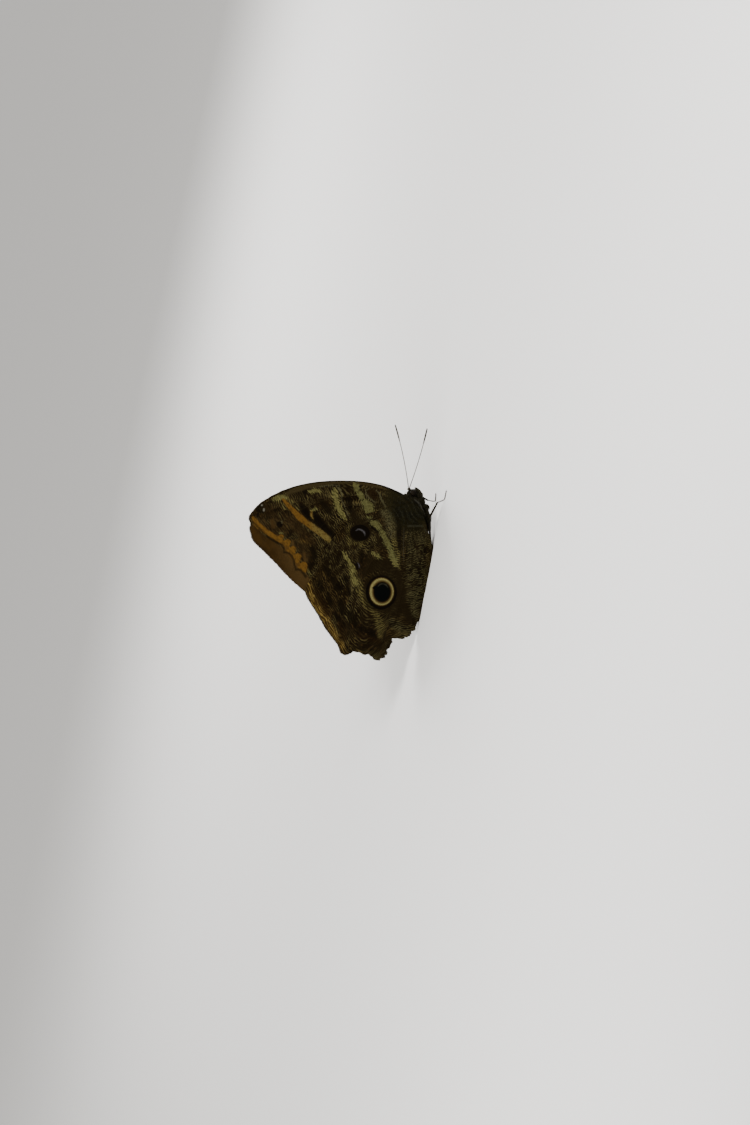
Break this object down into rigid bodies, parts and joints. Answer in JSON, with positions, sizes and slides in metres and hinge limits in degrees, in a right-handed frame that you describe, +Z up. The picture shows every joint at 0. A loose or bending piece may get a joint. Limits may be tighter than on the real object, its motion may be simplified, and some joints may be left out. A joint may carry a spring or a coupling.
{
  "type": "owl butterfly",
  "caption": "Still life-size model of an owl butterfly at rest: closed marbled brown wings with large eyespots, body, legs and feelers",
  "frame": {"origin": "bottom centre of the bounding box, on the surface that the feet and the lower wing edges rest on", "axes": "+X forward along the body, +Y to the animal's left, +Z up"},
  "size_m": [0.1054, 0.0308, 0.0833],
  "materials": {
    "body_fur": "matte",
    "eye": "gloss",
    "leg_horn": "satin",
    "antenna_horn": "satin",
    "forewing": "matte",
    "hindwing": "matte"
  },
  "bodies": {
    "root": {"head": "body_fur", "thorax": "body_fur", "abdomen": "body_fur", "eye_left": "eye", "eye_right": "eye", "palp_left": "body_fur", "palp_right": "body_fur", "proboscis": "leg_horn", "antenna_left": "antenna_horn", "antenna_right": "antenna_horn", "foreleg_left": "leg_horn", "foreleg_right": "leg_horn", "midleg_left": "leg_horn", "midleg_right": "leg_horn", "hindleg_left": "leg_horn", "hindleg_right": "leg_horn", "forewing_left": "forewing", "forewing_right": "forewing", "hindwing_left": "hindwing", "hindwing_right": "hindwing"}
  },
  "joints": []
}
